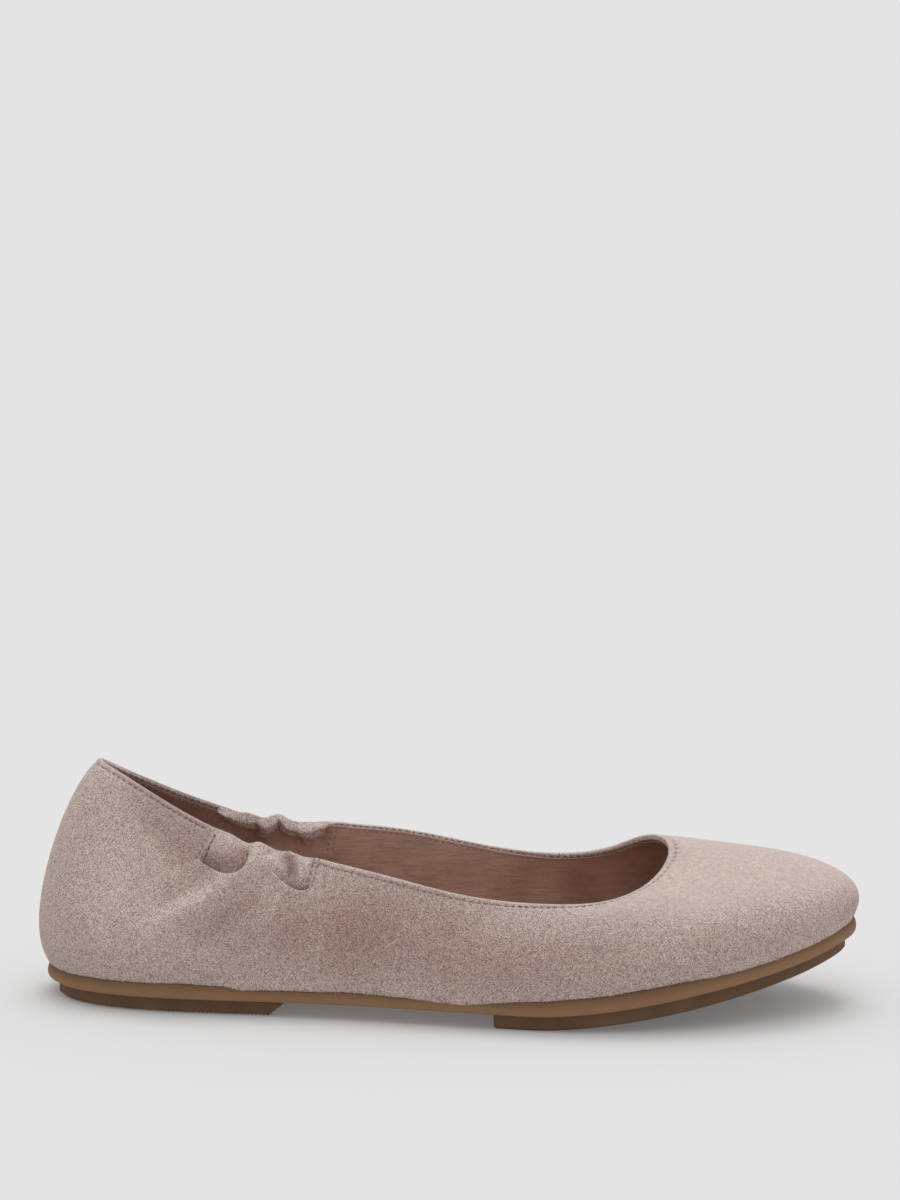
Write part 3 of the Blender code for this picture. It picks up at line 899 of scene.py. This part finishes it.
band = copy_of("midsole")
band.normal_update()
inset_flats(band, 3 * MM, 0.8 * MM)
band = subdivided(band, 2, FIT_LIMIT)
start = places_of(band)
facing = facing_of(band)
level = (start[:, 2] - sole_rise(start[:, 0]) - MIDSOLE_BOTTOM) / MIDSOLE_HEIGHT
side_on = 1 - smooth_step((abs(facing[:, 2]) - 0.5) / 0.4)
parting = PARTING_LINE * side_on * np.exp(-(((level - 0.36) / 0.05) ** 2))
outline = KDTree(len(start))
for index in np.flatnonzero(side_on > 0.9):
    outline.insert(start[index], index)
outline.balance()
found = [outline.find(place) for place in start]
rim = smooth_step(2.2 - np.array([f[2] for f in found]) / RIM_WIDTH)
outward = facing[[f[1] for f in found]] * (1, 1, 0)
climb = np.maximum(RIM_HIDDEN - from_table(SOLE_WAVE, start[:, 0]), 0) * rim * smooth_step((level - 0.4) / 0.6)
reach = from_table(TOE_REACH, start[:, 0]) * rim * smooth_step((0.6 - level) / 0.6)
moved = start + facing * parting[:, None] + outward * (LEAN * rim * (1 - level) - 0.5 * climb)[:, None]
moved[:, 2] += climb - reach
set_places(band, moved)
midsole_piece = add_piece("midsole_band", band, "midsole_rubber", "midsole")
keep_value(midsole_piece, "level", level)

# %% [markdown]
# ## The two pads
#
# The pads under the heel and the ball are a darker, harder rubber. Both have fine ribs across. On the heel pad
# they run to the side, where they show as small teeth, and on the other they stay inside a plain margin. A pad is
# sliced at every half rib, and each second cut of its underside is lifted.

# %% Outsole pads
RIB_PITCH = 1.15 * MM
RIB_DEPTH = 0.5 * MM
PAD_SEAT = 0.32 * MM  # up to the midsole, with no gap
BACK_ROUND = 1.4 * MM  # of the forefoot pad's back edge


def ribbed_pad(name, node, margin):
    """A pad with ribs across its underside, from edge to edge or inside a plain margin."""
    bm = copy_of(node)
    low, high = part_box(node)
    count = int((high.x - low.x) / (RIB_PITCH / 2))
    if margin:
        flat = [f for f in bm.faces if f.normal.z < -0.9]
        bmesh.ops.inset_region(bm, faces=flat, thickness=margin, use_even_offset=True)
    for step in range(1, count):
        place = low.x + step * RIB_PITCH / 2
        bmesh.ops.bisect_plane(bm, geom=bm.verts[:] + bm.edges[:] + bm.faces[:], plane_co=(place, 0, 0),
                               plane_no=(1, 0, 0), dist=1e-6)
    if margin:
        back_edge = [e for e in bm.edges if all(v.co.x < low.x + 0.3 * MM and v.co.z < 0.7 * MM for v in e.verts)]
        bmesh.ops.bevel(bm, geom=back_edge, offset=BACK_ROUND, segments=4, profile=0.5, affect="EDGES", material=-1)
    bm.normal_update()
    for vert in bm.verts:
        if vert.co.z - sole_rise(vert.co.x) > MIDSOLE_BOTTOM - 0.5 * MM:
            vert.co.z += PAD_SEAT
        under = vert.normal.z < -0.3 and vert.co.z - sole_rise(vert.co.x) < 0.2 * MM
        if margin and any(f.normal.z > -0.9 for f in vert.link_faces):
            under = False
        if under and round((vert.co.x - low.x) / (RIB_PITCH / 2)) % 2:
            vert.co.z += RIB_DEPTH
    bm.normal_update()
    piece = add_piece(name, bm, "outsole_rubber", node)
    piece.data.set_sharp_from_angle(angle=0.5)
    return piece


heel_pad = ribbed_pad("heel_pad", "outsole_heel", 0)
forefoot_pad = ribbed_pad("forefoot_pad", "outsole_forefoot", 2.5 * MM)

# %% [markdown]
# ## Nap at the cut edge
#
# Suede is the split side of a hide, so its cut edge sheds short fibres. Hair particles would do it, but they
# don't leave the file as a mesh. Thin cones, three-sided and leaning at random, are enough at this size.

# %% Nap fringe
FIBRES = 4200
FIBRE_ROOT, FIBRE_TIP = 0.035 * MM, 0.008 * MM
FIBRE_LENGTH = (0.18, 0.42)


def add_fibre(bm, fibre):
    """One fibre, an open cone that is turned into place."""
    turn, length = fibre
    bmesh.ops.create_cone(bm, cap_ends=False, segments=3, radius1=FIBRE_ROOT, radius2=FIBRE_TIP, depth=length,
                          matrix=turn)


random.seed(7)
fibres = []
suede_mesh = suede_piece.data
low_edge = [v for v, height in zip(suede_mesh.vertices, above_sole) if height < 0.25 * MM]
collar_edge = [v for v, depth in zip(suede_mesh.vertices, below) if depth < 0.7 * MM]
for count in range(FIBRES):
    edge, rise = (low_edge, (-1.3, 0.2)) if count % 3 else (collar_edge, (-0.2, 1))
    root = random.choice(edge)
    lean = Vector((random.uniform(-1, 1), random.uniform(-1, 1), random.uniform(*rise)))
    direction = (root.normal * 0.8 + lean * 0.7).normalized()
    length = random.uniform(*FIBRE_LENGTH) * MM
    turn = direction.to_track_quat("Z", "Y").to_matrix().to_4x4()
    shift = Vector((random.uniform(-0.3, 0.3), random.uniform(-0.3, 0.3), 0)) * MM
    turn.translation = root.co + shift * 0.5 + direction * length * 0.4
    fibres.append((turn, length))
fringe_piece = add_piece("suede_fringe", piled(fibres, add_fibre), "suede")

# %% [markdown]
# ## Writing materials
#
# Material nodes read like a plan when their sums are written as sums. A small class wraps a node's output, so
# that Python's plus, minus and times add the Math nodes. One method of a material adds every other kind of node.

# %% Shader arithmetic
class Socket:
    """A node's output that Python's arithmetic works on."""

    def __init__(self, output):
        self.output = output

    def combined(self, operation, first, second):
        """The output of a new Math node."""
        tree = self.output.id_data
        node = tree.nodes.new("ShaderNodeMath")
        node.operation = operation
        for value, socket in zip((first, second), node.inputs):
            if isinstance(value, Socket):
                tree.links.new(value.output, socket)
            else:
                socket.default_value = value
        return Socket(node.outputs[0])

    def __add__(self, other):
        return self.combined("ADD", self, other)

    def __sub__(self, other):
        return self.combined("SUBTRACT", self, other)

    def __rsub__(self, other):
        return self.combined("SUBTRACT", other, self)

    def __mul__(self, other):
        return self.combined("MULTIPLY", self, other)

    __radd__, __rmul__ = __add__, __mul__


class Finish:
    """A material, with one method that adds any node to it."""

    def __init__(self, name, constants):
        self.material = bpy.data.materials.new(name)
        self.material.use_nodes = True
        self.tree = self.material.node_tree
        self.shader = self.tree.nodes["Principled BSDF"]
        for socket, value in constants.items():
            self.shader.inputs[socket].default_value = value
        self.places = self.node("ShaderNodeTexCoord")["Object"]

    def node(self, kind, settings=None, inputs=None):
        """A new node. Its settings come first, and then the values or links of its inputs."""
        made = self.tree.nodes.new(kind)
        for name, value in (settings or {}).items():
            setattr(made, name, value)
        for name, value in (inputs or {}).items():
            socket = next(s for s in made.inputs if s.enabled and s.name == name)
            if isinstance(value, Socket):
                self.tree.links.new(value.output, socket)
            else:
                socket.default_value = value
        return {s.name: Socket(s) for s in made.outputs if s.enabled}

    def cloud(self, size, detail=2.0, roughness=0.5, places=None):
        """Noise with grains of this size in millimetres."""
        return self.node("ShaderNodeTexNoise", {}, {"Vector": places or self.places, "Scale": 1 / (size * MM),
                         "Detail": detail, "Roughness": roughness})["Fac"]

    def ramp(self, value, low, high, to_low=0.0, to_high=1.0):
        """A soft step from one number to another as the value goes from low to high."""
        return self.node("ShaderNodeMapRange", {"interpolation_type": "SMOOTHSTEP"}, {"Value": value, "From Min": low,
                         "From Max": high, "To Min": to_low, "To Max": to_high})["Result"]

    def mixed(self, share, first, second, blend="MIX"):
        """A colour between two others, or their product."""
        def colour(value):
            return value if isinstance(value, Socket) else (*value, 1)
        return self.node("ShaderNodeMix", {"data_type": "RGBA", "blend_type": blend},
                         {"Factor": share, "A": colour(first), "B": colour(second)})["Result"]

    def stored(self, name):
        return self.node("ShaderNodeAttribute", {"attribute_name": name})["Fac"]

    def bumped(self, height, depth, normal=None):
        inputs = {"Height": height, "Distance": depth * MM, "Strength": 1.0}
        if normal:
            inputs["Normal"] = normal
        return self.node("ShaderNodeBump", {}, inputs)["Normal"]

    def feed(self, **sockets):
        for name, value in sockets.items():
            self.tree.links.new(value.output, self.shader.inputs[name.replace("_", " ")])

    def dress(self, *pieces):
        for piece in pieces:
            piece.data.materials.append(self.material)
        print(self.material.name, len(self.tree.nodes), "nodes on", [piece.name for piece in pieces])


# %% [markdown]
# ## Suede
#
# Up close the nap is a speckle of light and dark tufts under a millimetre wide. Hands have stroked it into
# broader patches, which the stored values place. The same values paint shade into the hollows and crevices
# and light onto the ridges. On the vamp, which faces up, the nap lies flat and calm, and what faces up is
# painted greyer and paler as a painted sheen. The sheen of the shader is a constant: it lightens the suede
# where it is seen at a low angle, as real nap does.

# %% Suede
suede_finish = Finish("suede", {"Roughness": 0.95, "Specular IOR Level": 0.10, "Sheen Weight": 0.18,
                                "Sheen Roughness": 0.5, "Sheen Tint": (1.0, 0.95, 0.92, 1)})
SUEDE, SUEDE_PINK, SUEDE_GREY = (0.53, 0.41, 0.365), (0.505, 0.34, 0.30), (0.535, 0.44, 0.40)
SUEDE_PALE, SUEDE_SHADE, SUEDE_CREVICE_SHADE = (0.66, 0.54, 0.485), (0.26, 0.18, 0.16), (0.055, 0.03, 0.025)
SUEDE_CUT_AND_HIGHLIGHT = (0.74, 0.62, 0.56)
TUFT_LIGHT, TUFT_DARK = (1.40, 1.40, 1.40), (0.48, 0.47, 0.47)
nap = suede_finish.cloud(0.36, 1.5, 0.6)
tufts = suede_finish.cloud(1.5, 2.0)
patches = suede_finish.cloud(11, 2.0)
facing = suede_finish.node("ShaderNodeNewGeometry")["Normal"]
up = suede_finish.node("ShaderNodeSeparateXYZ", {}, {"Vector": facing})["Z"]
calm = suede_finish.ramp(up, 0.60, 0.97, 1.0, 0.3)
raised, shade = suede_finish.stored("raised"), suede_finish.stored("shade")
stroked_pink = suede_finish.stored("pink")
pink = stroked_pink + suede_finish.ramp(patches, 0.50, 0.75) * 0.4 + suede_finish.ramp(raised, -0.2, -1.3, 0.0, 0.5)
colour = suede_finish.mixed(suede_finish.ramp(pink, 0.0, 1.0), SUEDE, SUEDE_PINK)
# Greyer where the nap is stroked grey, and a painted sheen: what faces up is painted greyer and a little paler.
grey_nap_and_sheen = suede_finish.ramp(stroked_pink, 0.0, -1.0) + suede_finish.ramp(up, 0.30, 0.80, 0.0, 0.8)
colour = suede_finish.mixed(grey_nap_and_sheen, colour, SUEDE_GREY)
# Painted shade: darker in the shaded patches and in the hollows of the folds, partly stroked nap.
dark = suede_finish.ramp(shade, 0.0, -1.1, 0.0, 0.50) + suede_finish.ramp(raised, -0.2, -1.3, 0.0, 0.25)
colour = suede_finish.mixed(dark, colour, SUEDE_SHADE)
# Painted light: paler on the lit patches, on the casings and on the ridges of the folds, partly stroked nap.
light = suede_finish.ramp(shade, 0.0, 1.0, 0.0, 0.6) + suede_finish.ramp(raised, 0.3, 1.8, 0.0, 0.35)
colour = suede_finish.mixed(light, colour, SUEDE_PALE)
# The cut edge of the casings is painted pale, partly its own colour and partly a painted highlight.
colour = suede_finish.mixed(suede_finish.stored("cut_edge_and_highlight") * 0.8, colour, SUEDE_CUT_AND_HIGHLIGHT)
speckle = (nap - 0.5) * calm * 2.4 + (tufts - 0.5) * 0.4 + 0.5
tuft_colour = suede_finish.mixed(suede_finish.ramp(speckle, 0.0, 1.0), TUFT_DARK, TUFT_LIGHT)
colour = suede_finish.mixed(1.0, colour, tuft_colour, "MULTIPLY")
# Painted shade: crevices and needle holes are painted almost black.
crevice_shade = suede_finish.stored("crevice_shade") * suede_finish.ramp(nap + tufts, 0.7, 1.3, 1.0, 0.75)
colour = suede_finish.mixed(crevice_shade, colour, SUEDE_CREVICE_SHADE)
normal = suede_finish.bumped(nap * calm + tufts * 0.4, 0.42)
suede_finish.feed(Base_Color=colour, Normal=normal)
suede_finish.dress(suede_piece, fringe_piece, *casings)

# %% [markdown]
# ## Leather
#
# The lining is a smooth brown leather with fine pores and long fine wrinkles, a noise drawn out along the
# foot. The insole is the same hide, polished a little by the foot.

# %% Leather
LINING_LIGHT, LINING_DARK = (0.48, 0.305, 0.245), (0.36, 0.220, 0.172)
SOCK_LIGHT, SOCK_DARK = (0.44, 0.275, 0.215), (0.385, 0.235, 0.182)
LEATHER_CREVICE_SHADE = (0.03, 0.015, 0.01)
PORE = 0.55 * MM


def leather(name, light, dark, roughness):
    finish = Finish(name, {"Specular IOR Level": 0.35})
    pores = finish.node("ShaderNodeTexVoronoi", {}, {"Vector": finish.places, "Scale": 1 / PORE})["Distance"]
    grain = finish.cloud(1.6, 3.0, 0.6)
    cloudy = finish.cloud(14, 2.0)
    drawn_out = finish.node("ShaderNodeMapping", {}, {"Vector": finish.places, "Scale": (0.16, 0.16, 1.0)})["Vector"]
    wrinkles = finish.cloud(1.3, 2.0, 0.5, drawn_out)
    colour = finish.mixed(finish.ramp(cloudy * 0.65 + grain * 0.2 + wrinkles * 0.15, 0.35, 0.65), dark, light)
    # Painted shade: needle holes and the lining's top lip are painted almost black.
    colour = finish.mixed(finish.stored("crevice_shade") * 0.8, colour, LEATHER_CREVICE_SHADE)
    normal = finish.bumped(pores, 0.05, finish.bumped(grain * 0.5 + wrinkles, 0.30))
    worn = finish.ramp(grain, 0.3, 0.7, roughness - 0.08, roughness + 0.08)
    finish.feed(Base_Color=colour, Roughness=worn, Normal=normal)
    return finish


leather("lining_leather", LINING_LIGHT, LINING_DARK, 0.52).dress(lining_piece)
leather("insole_leather", SOCK_LIGHT, SOCK_DARK, 0.46).dress(sock_piece)

# %% [markdown]
# ## Rubber
#
# The midsole is painted darker towards the top, as painted shade under the suede that laps over it, and paler
# towards the ground, as painted light from the floor. Both rubbers are matt, with a faint cloudiness from the mould.

# %% Rubber
GUM_LIGHT, GUM_DARK = (0.32, 0.177, 0.090), (0.148, 0.082, 0.043)
PAD_LIGHT, PAD_DARK = (0.175, 0.100, 0.056), (0.130, 0.074, 0.041)


def rubber(name, light, dark, roughness, level=None):
    finish = Finish(name, {"Specular IOR Level": 0.2})
    cloudy = finish.cloud(9, 2.0)
    dust = finish.cloud(0.5, 2.0)
    share = finish.ramp(cloudy * 0.6 + dust * 0.4, 0.3, 0.7)
    if level:
        # Painted shade and light: darker towards the top under the suede, paler towards the ground.
        share = share * 0.15 + finish.ramp(finish.stored(level), 1.0, 0.0, 0.0, 0.85)
    colour = finish.mixed(share, dark, light)
    normal = finish.bumped(dust, 0.02, finish.bumped(cloudy, 0.12))
    worn = finish.ramp(dust, 0.3, 0.7, roughness - 0.06, roughness + 0.06)
    finish.feed(Base_Color=colour, Roughness=worn, Normal=normal)
    return finish


rubber("midsole_rubber", GUM_LIGHT, GUM_DARK, 0.65, "level").dress(midsole_piece)
rubber("outsole_rubber", PAD_LIGHT, PAD_DARK, 0.68).dress(heel_pad, forefoot_pad)

# %% [markdown]
# ## Thread
#
# The thread is dyed to match the suede, so mostly its needle holes show. Inside it is paler than the lining.

# %% Thread
def thread(name, light, dark):
    finish = Finish(name, {"Roughness": 0.7, "Specular IOR Level": 0.25, "Sheen Weight": 0.15})
    twist = finish.cloud(0.35, 2.0)
    finish.feed(Base_Color=finish.mixed(finish.ramp(twist, 0.3, 0.7), dark, light), Normal=finish.bumped(twist, 0.05))
    return finish


thread("thread_suede", (0.48, 0.36, 0.32), (0.34, 0.24, 0.21)).dress(outer_thread)
thread("thread_lining", (0.55, 0.42, 0.36), (0.36, 0.25, 0.20)).dress(inner_thread)

# %% [markdown]
# ## Floor and light
#
# The picture has an even pale ground with a short soft shadow that falls a little towards us. A wide soft sun
# from above and behind gives it. A weaker one over our shoulder looks into the shoe, and a sky that is
# brighter overhead fills the sides, as a studio with white walls would.

# %% Stage
PAPER, PAPER_GLOW = (0.527, 0.527, 0.527), 0.125
FLOOR_SIZE, FLOOR_DROP = 15, 0.05 * MM
SUN_WIDTH = 30  # degrees across, for a soft shadow

floor_mesh = bpy.data.meshes.new("floor")
floor_bm = bmesh.new()
bmesh.ops.create_grid(floor_bm, x_segments=1, y_segments=1, size=FLOOR_SIZE)
bmesh.ops.translate(floor_bm, vec=(0, 0, -FLOOR_DROP), verts=floor_bm.verts)
floor_bm.to_mesh(floor_mesh)
floor_bm.free()
floor = bpy.data.objects.new("floor", floor_mesh)
bpy.context.scene.collection.objects.link(floor)
Finish("paper", {"Base Color": (*PAPER, 1), "Emission Color": (1, 1, 1, 1), "Emission Strength": PAPER_GLOW,
                 "Roughness": 1.0, "Specular IOR Level": 0.0}).dress(floor)

for name, power, tilt in (("sun_behind", 1.05, -15), ("sun_before", 0.45, 20)):
    sun_light = bpy.data.lights.new(name, "SUN")
    sun_light.energy = power
    sun_light.angle = math.radians(SUN_WIDTH)
    sun = bpy.data.objects.new(name, sun_light)
    sun.rotation_euler = (math.radians(tilt), 0, 0)
    bpy.context.scene.collection.objects.link(sun)

world = bpy.data.worlds.new("studio")
bpy.context.scene.world = world
world.use_nodes = True
sky = world.node_tree
direction = sky.nodes.new("ShaderNodeTexCoord")
split = sky.nodes.new("ShaderNodeSeparateXYZ")
sky.links.new(direction.outputs["Generated"], split.inputs[0])


def sky_share(axis, start, end, low, high):
    """A share of brightness that changes along one axis of the sky."""
    band = sky.nodes.new("ShaderNodeMapRange")
    for name, value in (("From Min", start), ("From Max", end), ("To Min", low), ("To Max", high)):
        band.inputs[name].default_value = value
    sky.links.new(split.outputs[axis], band.inputs["Value"])
    return Socket(band.outputs["Result"])


brightness = sky_share("Z", 0.45, 0.75, 0.68, 0.82) * sky_share("Y", -0.3, 0.3, 0.90, 1.12)
sky.links.new(brightness.output, sky.nodes["Background"].inputs["Strength"])
sky.nodes["Background"].inputs["Color"].default_value = (1, 1, 1, 1)
bpy.context.scene.view_settings.view_transform = "Standard"
print("stage ready")
